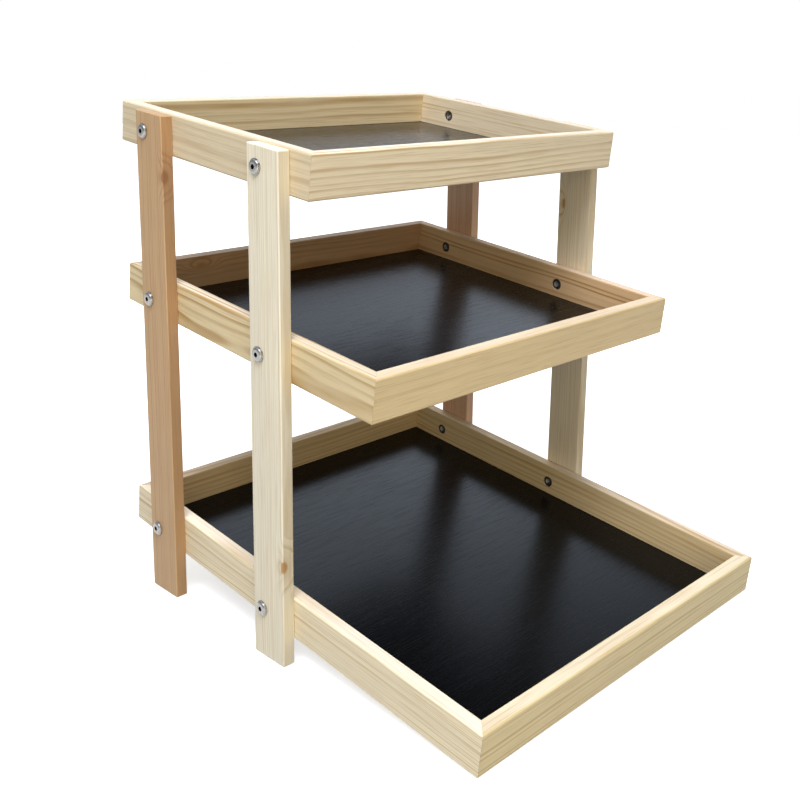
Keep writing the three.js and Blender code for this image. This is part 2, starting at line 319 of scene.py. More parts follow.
@dataclass(frozen=True)
class WoodFinish:
    """Planed and sanded softwood under a thin matt sealer.

    Early wood is pale and late wood darker, so the board shows lines where its faces cut the growth rings.
    Lengths are in millimetres. Fibres are really about 0.04 mm wide, and are drawn 1 mm wide to show.
    """

    name: str
    late: str = "#bb9b60"
    late_start: float = 0.3
    late_peak: float = 0.84
    growth_scale: float = 0.3
    growth_unevenness: float = 2.2
    season_scale: float = 0.7
    season_least: float = 0.15
    sway: float = 3.0
    sway_length: float = 260.0
    sway_width: float = 60.0
    patch_length: float = 150.0
    patch_width: float = 22.0
    patch_least: float = 0.2
    patch_shades: Span = (0.92, 1.05)
    fibre_width: float = 1.0
    fibre_length: float = 60.0
    fibre_strength: float = 0.4
    resin_span: Span = (0.5, 0.66)
    resin_strength: float = 0.42
    knot: str = "#b58a50"
    knot_radius: float = 1.9
    knot_squeeze: Point = (0.32, 0.42, 1.0)
    core_span: Span = (0.5, 1.2)
    halo_reach: float = 5.0
    halo_bulge: float = 2.5
    halo_strength: float = 0.2
    roughness: float = 0.55
    roughness_spread: float = 0.06
    ior: float = 1.5
    relief: float = 0.2
    relief_strength: float = 0.25

    def heart_distance(self, tree: NodeTree, board: NodeSocket) -> NodeSocket:
        """Measures how far a point lies from the log's heart, which sways along the board.

        Args:
            tree: The material's tree.
            board: The point's place in its board.

        Returns:
            The distance in millimetres.
        """
        noise = add_streaks(tree, board, self.sway_length, self.sway_width, roughness=0.45, output="Color")
        centred = add_node(tree, "VectorMath", (noise, (0.5, 0.5, 0.5)), operation="SUBTRACT")
        # The noise strays about a quarter from its middle, so four times the sway is wanted.
        reach = 4 * self.sway
        shift = add_node(tree, "VectorMath", (centred, (0, reach, reach)), operation="MULTIPLY")
        swayed = add_node(tree, "VectorMath", (board, shift), operation="ADD")
        section = add_node(tree, "VectorMath", (swayed, (0, 1, 1)), operation="MULTIPLY")
        return add_node(tree, "VectorMath", (section,), "Value", operation="LENGTH")

    def knot_shares(self, tree: NodeTree) -> tuple[NodeSocket, NodeSocket]:
        """Says how much of a point belongs to the knot and to the disturbed wood round it.

        Args:
            tree: The material's tree.

        Returns:
            The two shares.
        """
        place = add_node(tree, "Attribute", output="Vector", attribute_name="knot")
        squeezed = add_node(tree, "VectorMath", (place, self.knot_squeeze), operation="MULTIPLY")
        away = add_node(tree, "VectorMath", (squeezed,), "Value", operation="LENGTH")
        start, end = (share * self.knot_radius for share in self.core_span)
        core = add_node(tree, "MapRange", (away, start, end, 1.0, 0.0), **EASED)
        halo = add_node(tree, "MapRange", (away, 0.0, self.halo_reach * self.knot_radius, 1.0, 0.0), **EASED)
        return core, halo

    def late_wood(self, tree: NodeTree, distance: NodeSocket,
                  halo: NodeSocket) -> tuple[NodeSocket, NodeSocket]:
        """Draws the dark line of each growth ring, which bulges round a knot.

        Args:
            tree: The material's tree.
            distance: How far the point lies from the heart.
            halo: The share of disturbed wood.

        Returns:
            The line, and how strong that year's line is.
        """
        rate = add_node(tree, "Attribute", output="Fac", attribute_name="rate")
        rings = add_node(tree, "Math", (distance, rate), operation="MULTIPLY")
        bulged = add_node(tree, "Math", (halo, self.halo_bulge, rings), operation="MULTIPLY_ADD")
        growth = add_node(tree, "TexNoise", {"W": bulged, "Scale": self.growth_scale, "Detail": 1.0},
                          noise_dimensions="1D")
        uneven = add_node(tree, "Math", (growth, self.growth_unevenness, bulged), operation="MULTIPLY_ADD")
        phase = add_node(tree, "Math", (uneven,), operation="FRACT")
        rising = add_node(tree, "MapRange", (phase, self.late_start, self.late_peak, 0.0, 1.0), **EASED)
        falling = add_node(tree, "MapRange", (phase, self.late_peak, 1.0, 1.0, 0.0), **EASED)
        line = add_node(tree, "Math", (rising, falling), operation="MULTIPLY")
        years = add_node(tree, "TexNoise", {"W": bulged, "Scale": self.season_scale, "Detail": 0.0},
                         noise_dimensions="1D")
        season = add_node(tree, "MapRange", (years, 0.3, 0.7, self.season_least, 1.0))
        return line, season

    def material(self) -> Material:
        """Makes the node material, which reads each board's own grain from its attributes.

        Returns:
            The material.
        """
        material, tree = new_tree(self.name)
        board = add_node(tree, "Attribute", output="Vector", attribute_name="board")
        ground = add_node(tree, "Attribute", output="Color", attribute_name="ground")
        strength = add_node(tree, "Attribute", output="Fac", attribute_name="lines")
        core, halo = self.knot_shares(tree)
        line, season = self.late_wood(tree, self.heart_distance(tree, board), halo)
        patch = add_streaks(tree, board, self.patch_length, self.patch_width)
        fibre = add_streaks(tree, board, self.fibre_length, self.fibre_width, detail=3.0, roughness=0.6)

        faded = add_node(tree, "MapRange", (patch, 0.3, 0.65, self.patch_least, 1.0))
        for share in (season, faded):
            strength = add_node(tree, "Math", (strength, share), operation="MULTIPLY")
        crowded = add_node(tree, "Math", (halo, self.halo_strength, strength), operation="MULTIPLY_ADD")
        drawn = add_node(tree, "Math", (line, crowded), operation="MULTIPLY", use_clamp=True)

        shade = add_node(tree, "MapRange", (patch, 0.25, 0.75, *self.patch_shades))
        early = add_node(tree, "VectorMath", {"Vector": ground, "Scale": shade}, operation="SCALE")
        late = add_node(tree, "Mix", (1.0, early, linear(self.late)), blend_type="MULTIPLY", **COLOUR_MIX)
        lined = add_node(tree, "Mix", (drawn, early, late), **COLOUR_MIX)
        resin = add_node(tree, "MapRange", (fibre, *self.resin_span, 0.0, self.resin_strength))
        flecked = add_node(tree, "Mix", (resin, lined, late), **COLOUR_MIX)
        streaked = add_node(tree, "Mix", (self.fibre_strength, flecked, fibre), blend_type="SOFT_LIGHT",
                            **COLOUR_MIX)
        stain = add_node(tree, "Math", (halo, self.halo_strength, core), operation="MULTIPLY_ADD",
                         use_clamp=True)
        coloured = add_node(tree, "Mix", (stain, streaked, linear(self.knot)), **COLOUR_MIX)

        dull = add_node(tree, "MapRange", (fibre, 0.2, 0.8, self.roughness - self.roughness_spread,
                                           self.roughness + self.roughness_spread))
        height = add_node(tree, "Math", (line, 0.5, fibre), operation="MULTIPLY_ADD")
        bump = add_node(tree, "Bump", {"Strength": self.relief_strength, "Distance": self.relief * MM,
                                       "Height": height})
        end_tree(tree, {"Base Color": coloured, "Roughness": dull, "IOR": self.ior, "Normal": bump})
        return material


@dataclass(frozen=True)
class FoilFinish:
    """Black paper foil on thin board, pressed with fine pores that run across the stand.

    The foil is satin and mirrors weakly, so only bright surroundings show in it, as soft patches. The
    underside is left matt. Lengths are in millimetres. Real pores are about 0.2 mm wide, and are drawn 1.4 mm
    wide to show.
    """

    name: str
    colour: str = "#070708"
    pore_colour: str = "#040405"
    pore_width: float = 1.4
    pore_length: float = 34.0
    pore_span: Span = (0.32, 0.56)
    pore_relief: float = 0.15
    pore_strength: float = 0.07
    pore_dullness: float = 0.06
    roughness: float = 0.24
    underside_roughness: float = 0.9
    upward: float = 0.2
    ior: float = 1.5
    mirror: float = 0.12

    def material(self) -> Material:
        """Makes the node material.

        Returns:
            The material.
        """
        material, tree = new_tree(self.name)
        place = add_node(tree, "TexCoord", output="Object")
        pores = add_streaks(tree, place, self.pore_length * MM, self.pore_width * MM, roughness=0.55)
        flat = add_node(tree, "MapRange", (pores, *self.pore_span, 0.0, 1.0), **EASED)
        tint = add_node(tree, "Mix", (flat, linear(self.pore_colour), linear(self.colour)), **COLOUR_MIX)
        sheen = add_node(tree, "MapRange", (flat, 0.0, 1.0, self.roughness + self.pore_dullness,
                                            self.roughness))
        bump = add_node(tree, "Bump", {"Strength": self.pore_strength, "Distance": self.pore_relief * MM,
                                       "Height": flat})
        normal = add_node(tree, "TexCoord", output="Normal")
        facing = add_node(tree, "SeparateXYZ", (normal,), "Z")
        dull = add_node(tree, "MapRange", (facing, 0.0, self.upward, self.underside_roughness, sheen))
        end_tree(tree, {"Base Color": tint, "Roughness": dull, "IOR": self.ior,
                        "Specular IOR Level": self.mirror, "Normal": bump})
        return material


@dataclass(frozen=True)
class MetalFinish:
    """Plated or die-cast metal with a faint tumbled unevenness, grain in millimetres."""

    name: str
    bright: str
    worn: str
    roughness: float
    polish: float = 0.05
    wear: float = 0.08
    grain: float = 1.2

    def material(self) -> Material:
        """Makes the node material.

        Returns:
            The material.
        """
        material, tree = new_tree(self.name)
        place = add_node(tree, "TexCoord", output="Object")
        specks = add_node(tree, "TexNoise", {"Vector": place, "Scale": 1 / (self.grain * MM), "Detail": 2.0})
        tint = add_node(tree, "Mix", (specks, linear(self.bright), linear(self.worn)), **COLOUR_MIX)
        dull = add_node(tree, "MapRange", (specks, 0.2, 0.8, self.roughness - self.polish,
                                           self.roughness + self.wear))
        end_tree(tree, {"Base Color": tint, "Roughness": dull, "Metallic": 1.0})
        return material


@dataclass(frozen=True)
class DowelFinish:
    """Unfinished beech with short dark flecks along the pin, lengths in millimetres."""

    name: str = "plain beech"
    pale: str = "#cfae7c"
    fleck: str = "#a27c4c"
    fleck_length: float = 3.0
    fleck_width: float = 0.5
    roughness: float = 0.7

    def material(self) -> Material:
        """Makes the node material.

        Returns:
            The material.
        """
        material, tree = new_tree(self.name)
        place = add_node(tree, "TexCoord", output="Object")
        flecks = add_streaks(tree, place, self.fleck_length * MM, self.fleck_width * MM)
        tint = add_node(tree, "Mix", (flecks, linear(self.pale), linear(self.fleck)), **COLOUR_MIX)
        end_tree(tree, {"Base Color": tint, "Roughness": self.roughness})
        return material


# Cream wood with amber rings.
PINE = WoodFinish("yellow pine")
# Nearly white wood with faint straight lines.
SPRUCE = WoodFinish("pale spruce", late="#cdb582", sway=2.6)
# Pinkish brown wood with fine darker lines.
BROWN_PINE = WoodFinish("tan pine", late="#c08f66", knot="#93633a", sway=1.5)
# Nearly black, with weak soft reflections.
SATIN_FOIL = FoilFinish("satin black foil")
# Nearly black, and shiny enough to show the rail behind it.
RUBBED_FOIL = FoilFinish("rubbed black foil", mirror=0.8)
# Mid grey with sharp highlights.
NICKEL = MetalFinish("nickel-plated steel", bright="#a3a19b", worn="#7d7a74", roughness=0.27)
# Dark: painted shade inside a bolt's socket, so that the socket looks deep.
SOCKET_SHADE_STEEL = MetalFinish("socket shade steel", bright="#2a2927", worn="#141312", roughness=0.5)
# Dull dark grey.
ZINC = MetalFinish("die-cast zinc", bright="#72706c", worn="#504e4a", roughness=0.36)
# Pale and dull: a painted highlight on an insert's socket walls, where they catch the light.
SOCKET_HIGHLIGHT_ZINC = MetalFinish("socket highlight zinc", bright="#f6f4ee", worn="#dedcd6", roughness=0.58)


def deselect_all() -> None:
    """Leaves edit mode and deselects every object."""
    if bpy.context.object and bpy.context.object.mode != "OBJECT":
        bpy.ops.object.mode_set(mode="OBJECT")
    bpy.ops.object.select_all(action="DESELECT")


def take(piece: Object) -> None:
    """Makes a piece the only selected object, and the active one.

    Args:
        piece: The piece.
    """
    deselect_all()
    piece.select_set(True)
    bpy.context.view_layer.objects.active = piece


def add_block(name: str, low: Vector, high: Vector) -> Object:
    """Adds a cube primitive between two corners.

    Args:
        name: The new object's name.
        low: Its lowest corner.
        high: Its highest corner.

    Returns:
        The block, with its place in its mesh.
    """
    deselect_all()
    bpy.ops.mesh.primitive_cube_add(size=1, location=(low + high) / 2, scale=high - low)
    block = bpy.context.object
    block.name = name
    bpy.ops.object.transform_apply()
    return block


def add_plug(radius: float, start: Vector, end: Vector, sides: int = 48) -> Object:
    """Adds a cylinder primitive between two points, as a cutter or as a blank.

    Args:
        radius: Its radius at the corners.
        start: The middle of one end.
        end: The middle of the other end.
        sides: How many sides it has.

    Returns:
        The plug, with its place in its mesh.
    """
    deselect_all()
    along = end - start
    turn = along.to_track_quat("Z", "Y").to_euler()
    bpy.ops.mesh.primitive_cylinder_add(vertices=sides, radius=radius, depth=along.length,
                                        location=(start + end) / 2, rotation=turn)
    bpy.ops.object.transform_apply()
    return bpy.context.object


def edit_all(piece: Object) -> None:
    """Opens a piece in edit mode with all of it selected.

    Args:
        piece: The piece.
    """
    take(piece)
    bpy.ops.object.mode_set(mode="EDIT")
    bpy.ops.mesh.select_all(action="SELECT")


def edit_some(piece: Object, kind: str, wanted: Callable[[Vector, Vector], bool]) -> None:
    """Opens a piece in edit mode with some of its edges or faces selected.

    Args:
        piece: The piece.
        kind: EDGE or FACE.
        wanted: Says of an edge's two ends, or of a face's middle and normal, whether it is selected.
    """
    edit_all(piece)
    bpy.ops.mesh.select_mode(type=kind)
    bpy.ops.mesh.select_all(action="DESELECT")
    bpy.ops.object.mode_set(mode="OBJECT")
    mesh = piece.data
    if kind == "EDGE":
        for edge in mesh.edges:
            edge.select = wanted(*(mesh.vertices[i].co for i in edge.vertices))
    else:
        for face in mesh.polygons:
            face.select = wanted(face.center, face.normal)
    bpy.ops.object.mode_set(mode="EDIT")


def slice_off(piece: Object, point: Vector, normal: Vector) -> None:
    """Cuts away what lies past a plane, on the side of its normal, and closes the cut."""
    edit_all(piece)
    bpy.ops.mesh.bisect(plane_co=point, plane_no=normal, use_fill=True, clear_outer=True, threshold=TOUCH)


def carve(piece: Object, cutters: Iterable[Object]) -> None:
    """Cuts shapes out of a piece and throws the cutters away.

    Args:
        piece: The piece.
        cutters: The shapes to take away.
    """
    for cutter in cutters:
        take(piece)
        cut = piece.modifiers.new("cut", "BOOLEAN")
        cut.operation = "DIFFERENCE"
        cut.solver = "EXACT"
        cut.object = cutter
        bpy.ops.object.modifier_apply(modifier=cut.name)
        bpy.data.objects.remove(cutter)


def copy_piece(piece: Object, name: str) -> Object:
    """Copies a piece with a mesh of its own.

    Args:
        piece: What to copy.
        name: The copy's name.

    Returns:
        The copy.
    """
    take(piece)
    bpy.ops.object.duplicate()
    copy = bpy.context.object
    copy.name = name
    return copy


def settle(piece: Object, place: Matrix) -> None:
    """Moves a piece to its place, keeps the place in its mesh and smooths its rounded edges.

    Args:
        piece: The piece.
        place: Where it goes.
    """
    take(piece)
    piece.matrix_world = place
    bpy.ops.object.transform_apply()
    bpy.ops.object.shade_smooth_by_angle(angle=SMOOTH_ANGLE)
    weigh = piece.modifiers.new("even flats", "WEIGHTED_NORMAL")
    weigh.keep_sharp = True
    bpy.ops.object.modifier_apply(modifier=weigh.name)


def write_grain(piece: Object, axes: tuple[int, int, int], board: Board, top_highlight_share: float = 0.0) -> None:
    """Keeps where each point lies in its board, in millimetres, for the wood to read.

    Args:
        piece: A board that still lies at the origin.
        axes: The numbers of the axes along, through and across the board.
        board: The board's own grain.
        top_highlight_share: How far the upper narrow face goes from the ground to cream, as a painted
            highlight.
    """
    mesh = piece.data
    heart_through, heart_across = board.cut.value
    levels = [vertex.co[axes[2]] for vertex in mesh.vertices]
    lowest, highest = min(levels), max(levels)
    plain, edge = linear(board.ground), linear(board.edge or board.ground)
    crown = [own + top_highlight_share * (cream - own) for own, cream in zip(plain, linear(TOP_HIGHLIGHT_CREAM))]
    grain, knot, ground = [], [], []
    for vertex, level in zip(mesh.vertices, levels):
        along, through, across = (vertex.co[axis] / MM for axis in axes)
        grain += [along + board.start, through - heart_through, across - heart_across]
        knot += [along - board.knot[0], through - board.knot[1], across - board.knot[2]]
        # Painted shade: the lowest narrow face takes the board's darker edge colour, where a board has one.
        if level < lowest + TOUCH:
            ground += edge
        # Painted highlight: the highest narrow face leans towards cream.
        elif level > highest - TOUCH:
            ground += crown
        else:
            ground += plain
    count = len(levels)
    for name, kind, key, values in (("board", "FLOAT_VECTOR", "vector", grain),
                                    ("knot", "FLOAT_VECTOR", "vector", knot),
                                    ("rate", "FLOAT", "value", [1 / board.ring] * count),
                                    ("lines", "FLOAT", "value", [board.lines] * count),
                                    ("ground", "FLOAT_COLOR", "color", ground)):
        mesh.attributes.new(name, kind, "POINT").data.foreach_set(key, values)


def dress(piece: Object, materials: Iterable[Material], node: str) -> None:
    """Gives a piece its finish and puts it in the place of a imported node.

    Args:
        piece: The piece.
        materials: Its materials, in the order of the numbers that its faces hold.
        node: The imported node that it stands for.
    """
    for material in materials:
        piece.data.materials.append(material)
    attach(piece, BODY)
    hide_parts(node)
    LOG.info("%s stands for %s, %d faces", piece.name, node, len(piece.data.polygons))


def redress(node: str, material: Material) -> None:
    """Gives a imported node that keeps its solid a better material.

    Args:
        node: The node's name.
        material: Its new material.
    """
    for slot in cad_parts[node].material_slots:
        slot.material = material
    LOG.info("%s keeps its solid", node)


@dataclass
class Tray:
    """One tray: four mitred rails round a black panel."""

    sizes: StandSizes
    tier: Tier
    boards: dict[RailSpot, Board]
    # How much painted highlight the rails' top faces get.
    top_highlight_share: float = 0.4
    bevel_steps: int = 8
    rails: dict[RailSpot, Object] = field(default_factory=dict)

    def place(self, spot: RailSpot) -> Matrix:
        """Gives a rail's place in the stand.

        Args:
            spot: Which rail.

        Returns:
            The move from the rail's own axes.
        """
        sizes, depth = self.sizes, self.sizes.depth(self.tier)
        half = sizes.tray_width / 2
        middles = {RailSpot.FRONT: (0, -depth, 0), RailSpot.BACK: (0, 0, 0),
                   RailSpot.LEFT: (-half, -depth / 2, 0), RailSpot.RIGHT: (half, -depth / 2, 0)}
        rear = Matrix.Translation((0, sizes.rear_y, sizes.rear_z(self.tier)))
        tray = rear @ Matrix.Rotation(sizes.slope, 4, "X")
        return tray @ Matrix.Translation(middles[spot]) @ Matrix.Rotation(spot.value, 4, "Z")

    def rail_blank(self, name: str, length: float) -> Object:
        """Models a rail along X: outer face at y = 0, inside towards +Y, underside at z = 0, ends mitred.

        Args:
            name: The rail's name.
            length: Its outside length.

        Returns:
            The rail, not drilled.
        """
        sizes = self.sizes
        thick, high = sizes.rail_thickness, sizes.rail_height
        rail = add_block(name, Vector((-length / 2, 0, 0)), Vector((length / 2, thick, high)))
        edit_some(rail, "EDGE", lambda a, b: abs(a.x - b.x) > TOUCH and a.y < TOUCH)
        bpy.ops.mesh.bevel(offset=sizes.rail_outer_radius, segments=self.bevel_steps)
        edit_some(rail, "EDGE", lambda a, b: abs(a.x - b.x) > TOUCH and min(a.y, b.y) > thick - TOUCH
                  and min(a.z, b.z) > high - TOUCH)
        bpy.ops.mesh.bevel(offset=sizes.rail_inner_radius, segments=self.bevel_steps // 2)
        for level in (sizes.groove_low, sizes.groove_high):
            bpy.ops.mesh.select_all(action="SELECT")
            bpy.ops.mesh.bisect(plane_co=(0, 0, level), plane_no=(0, 0, 1), threshold=TOUCH)
        edit_some(rail, "FACE",
                  lambda at, out: out.y > FACING and sizes.groove_low < at.z < sizes.groove_high)
        bpy.ops.mesh.extrude_region_move(TRANSFORM_OT_translate={"value": (0, -sizes.groove_depth, 0)})
        for way in (-1, 1):
            slice_off(rail, Vector((way * (length / 2 - sizes.mitre_setback), 0, 0)), Vector((way, 1, 0)))
        return rail

    def drill(self, rail: Object, side: Side) -> None:
        """Bores a side rail through for the insert nuts, and half through for the dowels.

        Args:
            rail: The rail, along X.
            side: Which side it goes to.
        """
        sizes, cutters = self.sizes, []
        through = sizes.rail_thickness + CUT_OVERRUN
        blind = sizes.rail_thickness - sizes.dowel_cover
        for row in LegRow:
            for y, radius, bottom in ((sizes.bolt_y(row), sizes.insert_hole_radius, through),
                                      (sizes.dowel_y(row), sizes.dowel_hole_radius, blind)):
                rise = sizes.bore_z(self.tier, y) - sizes.rear_z(self.tier)
                along = (sizes.rear_y - y) * math.cos(sizes.slope) - rise * math.sin(sizes.slope)
                x = side.value * (sizes.depth(self.tier) / 2 - along)
                z = sizes.rail_height / 2
                cutters.append(add_plug(radius, Vector((x, -CUT_OVERRUN, z)), Vector((x, bottom, z))))
        carve(rail, cutters)

    def build(self) -> None:
        """Models the four rails and lays them in place."""
        across = self.rail_blank("rail_across", self.sizes.tray_width)
        along = self.rail_blank("rail_along", self.sizes.depth(self.tier))
        for spot in RailSpot:
            name = f"{self.tier.word}_{spot.word}_rail_board"
            if spot in (RailSpot.FRONT, RailSpot.BACK):
                rail = copy_piece(across, name)
            else:
                rail = copy_piece(along, name)
                self.drill(rail, Side[spot.name])
            write_grain(rail, (0, 1, 2), self.boards[spot], self.top_highlight_share)
            settle(rail, self.place(spot))
            self.rails[spot] = rail
        for blank in (across, along):
            bpy.data.objects.remove(blank)

    def dress(self, wood: Material, foil: Material) -> None:
        """Gives the rails and the panel their finishes.

        Args:
            wood: The rails' wood.
            foil: The panel's foil.
        """
        for spot, rail in self.rails.items():
            dress(rail, [wood], f"{self.tier.word}_tray_{spot.word}_rail")
        redress(f"{self.tier.word}_tray_panel", foil)


@dataclass
class Leg:
    """One upright leg slat, with its top cut to the slope of the trays."""

    sizes: StandSizes
    row: LegRow
    side: Side
    board: Board
    bevel_steps: int = 4
    slat: Object | None = None

    def build(self) -> None:
        """Models the slat where it stands and bores it for the bolts and the dowels."""
        sizes, sign = self.sizes, self.side.value
        front, rear = sizes.leg_front_y(self.row), sizes.leg_front_y(self.row) + sizes.leg_width
        inner, outer = sign * sizes.leg_inner_x, sign * sizes.leg_outer_x
        top = sizes.plane_height(Tier.TOP, sizes.rail_height, rear) - sizes.leg_top_drop
        slat = add_block(f"{self.row.word}_{self.side.word}_leg_slat", Vector((min(inner, outer), front, 0)),
                         Vector((max(inner, outer), rear, top + CUT_OVERRUN)))
        slice_off(slat, Vector((0, rear, top)), Vector((0, -math.sin(sizes.slope), math.cos(sizes.slope))))
        edit_all(slat)
        bpy.ops.mesh.bevel(offset=sizes.leg_edge_radius, segments=self.bevel_steps)
        middle = Vector(((inner + outer) / 2, (front + rear) / 2, 0))
        settle(slat, Matrix.Translation(-middle))
        through, blind = outer + sign * CUT_OVERRUN, outer - sign * sizes.dowel_cover
        cutters = []
        for tier in Tier:
            for y, radius, end in ((sizes.bolt_y(self.row), sizes.bolt_hole_radius, through),
                                   (sizes.dowel_y(self.row), sizes.dowel_hole_radius, blind)):
                z = sizes.bore_z(tier, y)
                cutters.append(add_plug(radius, Vector((inner - sign * CUT_OVERRUN, y, z)) - middle,
                                        Vector((end, y, z)) - middle))
        carve(slat, cutters)
        write_grain(slat, (2, 0, 1), self.board)
        settle(slat, Matrix.Translation(middle))
        self.slat = slat

    def dress(self, wood: Material, slot: str) -> None:
        """Gives the slat its wood."""
        dress(self.slat, [wood], f"{self.row.word}_{self.side.word}_leg")


@dataclass
class Fixings:
    """The bolts and insert nuts, each modelled once along Z and copied to every joint."""

    sizes: StandSizes
    head_radius: float = 0.0068
    head_height: float = 0.0025
    flange_height: float = 0.0008
    flange_edge: float = 0.0003
    step_radius: float = 0.0061
    crown_radius: float = 0.0035
    socket_flats: float = 0.004
    socket_depth: float = 0.0018
    shank_radius: float = 0.003
    thread_radius: float = 0.002675
    tip_setback: float = 0.0024
    tip_chamfer: float = 0.0007
    insert_radius: float = 0.0056
    insert_bore: float = 0.002825
    insert_flats: float = 0.0064
    insert_socket_depth: float = 0.004
    insert_chamfer: float = 0.0006
    flange_steps: int = 3
    chamfer_steps: int = 2
    dome_steps: int = 7
    turn_steps: int = 48
    bolts: dict[str, Object] = field(default_factory=dict)
    inserts: dict[str, Object] = field(default_factory=dict)

    def raise_ring(self, rise: float, share: float) -> None:
        """Extrudes the selected end face along Z and draws it in or out to a share of its width."""
        bpy.ops.mesh.extrude_region_move(TRANSFORM_OT_translate={"value": (0, 0, rise)})
        bpy.ops.transform.resize(value=(share, share, 1), center_override=(0, 0, 0))

    def bolt_blank(self) -> Object:
        """Models a bolt: underside of the head at z = 0, shank downwards, socket upwards.

        Returns:
            The bolt.
        """
        sizes = self.sizes
        plain = sizes.leg_thickness + sizes.joint_gap
        length = plain + sizes.joint_gap + sizes.rail_thickness - sizes.insert_recess - self.tip_setback
        bolt = add_plug(self.head_radius, Vector(), Vector((0, 0, self.flange_height)), self.turn_steps)
        edit_some(bolt, "EDGE", lambda a, b: abs(a.z - b.z) < TOUCH and a.z > TOUCH)
        bpy.ops.mesh.bevel(offset=self.flange_edge, segments=self.flange_steps)
        edit_some(bolt, "FACE", lambda at, out: out.z > FACING and at.xy.length < TOUCH)
        self.raise_ring(0, self.step_radius / (self.head_radius - self.flange_edge))
        width, height = self.step_radius, 0.0
        for step in range(1, self.dome_steps + 1):
            angle = step / self.dome_steps * math.pi / 2
            next_width = self.crown_radius + (self.step_radius - self.crown_radius) * math.cos(angle)
            next_height = (self.head_height - self.flange_height) * math.sin(angle)
            self.raise_ring(next_height - height, next_width / width)
            width, height = next_width, next_height
        edit_some(bolt, "FACE", lambda at, out: out.z < -FACING and at.xy.length < TOUCH)
        self.raise_ring(0, self.shank_radius / self.head_radius)
        self.raise_ring(-plain, 1)
        self.raise_ring(0, self.thread_radius / self.shank_radius)
        self.raise_ring(plain + self.tip_chamfer - length, 1)
        self.raise_ring(-self.tip_chamfer, 1 - self.tip_chamfer / self.thread_radius)
        socket = add_plug(self.socket_flats / math.sqrt(3),
                          Vector((0, 0, self.head_height - self.socket_depth)),
                          Vector((0, 0, self.head_height + CUT_OVERRUN)), HEX_SIDES)
        carve(bolt, [socket])
        # The socket's inner faces take the second material, painted shade.
        for face in bolt.data.polygons:
            inside = face.center.xy.length < self.socket_flats / 2 + TOUCH
            if inside and TOUCH < face.center.z < self.head_height - TOUCH:
                face.material_index = 1
        return bolt

    def insert_blank(self) -> Object:
        """Models an insert nut: outer end at z = 0, body downwards, drive socket at its lower end.

        Returns:
            The insert nut.
        """
        length = self.sizes.rail_thickness - self.sizes.insert_recess
        insert = add_plug(self.insert_radius, Vector((0, 0, -length)), Vector(), self.turn_steps)
        edit_some(insert, "EDGE", lambda a, b: abs(a.z - b.z) < TOUCH and a.z < -TOUCH)
        bpy.ops.mesh.bevel(offset=self.insert_chamfer, segments=self.chamfer_steps)
        bore = add_plug(self.insert_bore, Vector((0, 0, -length - CUT_OVERRUN)), Vector((0, 0, CUT_OVERRUN)))
        drive = add_plug(self.insert_flats / math.sqrt(3), Vector((0, 0, -length - CUT_OVERRUN)),
                         Vector((0, 0, self.insert_socket_depth - length)), HEX_SIDES)
        carve(insert, [bore, drive])
        # The drive socket's walls take the second material, a painted highlight.
        for face in insert.data.polygons:
            away = face.center.xy.length
            if abs(face.normal.z) < 1 - FACING and self.insert_bore < away < self.insert_flats / 2 + TOUCH:
                face.material_index = 1
        return insert

    def build(self) -> None:
        """Copies a bolt and an insert nut to every joint."""
        sizes = self.sizes
        bolt, insert = self.bolt_blank(), self.insert_blank()
        for tier, row, side in product(Tier, LegRow, Side):
            joint = f"{tier.word}_{row.word}_{side.word}"
            y = sizes.bolt_y(row)
            z = sizes.bore_z(tier, y)
            head_x = side.value * (sizes.leg_outer_x + sizes.joint_gap)
            rail_x = side.value * sizes.tray_width / 2
            turn = Matrix.Rotation(side.value * math.pi / 2, 4, "Y")
            self.bolts[joint] = copy_piece(bolt, f"{joint}_button_bolt")
            settle(self.bolts[joint], Matrix.Translation((head_x, y, z)) @ turn)
            self.inserts[joint] = copy_piece(insert, f"{joint}_sleeve_nut")
            settle(self.inserts[joint], Matrix.Translation((rail_x, y, z)) @ turn)
        for blank in (bolt, insert):
            bpy.data.objects.remove(blank)

    def dress(self, bolt_metals: list[Material], nut_metals: list[Material], beech: Material) -> None:
        """Gives the bolts, insert nuts and dowels their finishes.

        Args:
            bolt_metals: The bolts' plating, and the dark metal inside their sockets, painted shade.
            nut_metals: The insert nuts' metal, and the pale metal inside their sockets, a painted highlight.
            beech: The dowels' wood.
        """
        for joint, bolt in self.bolts.items():
            dress(bolt, bolt_metals, f"{joint}_bolt")
            dress(self.inserts[joint], nut_metals, f"{joint}_insert_nut")
            redress(f"{joint}_dowel", beech)


@dataclass(frozen=True)
class Softbox:
    """A square soft light: its power in watts, its width and place in metres."""

    name: str
    power: float
    size: float
    place: Point
    colour: str
    mirrored: bool = True

    def hang(self, aim: Vector) -> None:
        """Hangs the light.

        Args:
            aim: The point that it looks at.
        """
        lamp = bpy.data.lights.new(self.name, "AREA")
        lamp.shape = "SQUARE"
        lamp.size = self.size
        lamp.energy = self.power
        lamp.color = linear(self.colour)[:3]
        light = bpy.data.objects.new(self.name, lamp)
        turn = (aim - Vector(self.place)).to_track_quat("-Z", "Y")
        light.matrix_world = Matrix.Translation(self.place) @ turn.to_matrix().to_4x4()
        light.visible_glossy = self.mirrored
        bpy.context.collection.objects.link(light)


SOFTBOXES = (Softbox("key_softbox", 90.0, 1.6, (-1.01, -0.68, 2.5), "#e8edff"),
             Softbox("fill_softbox", 12.0, 1.4, (-1.14, -1.42, 0.6), "#fff4e2"),
             Softbox("rear_softbox", 14.0, 1.4, (1.2, 1.35, 0.9), "#fff4e2", mirrored=False))


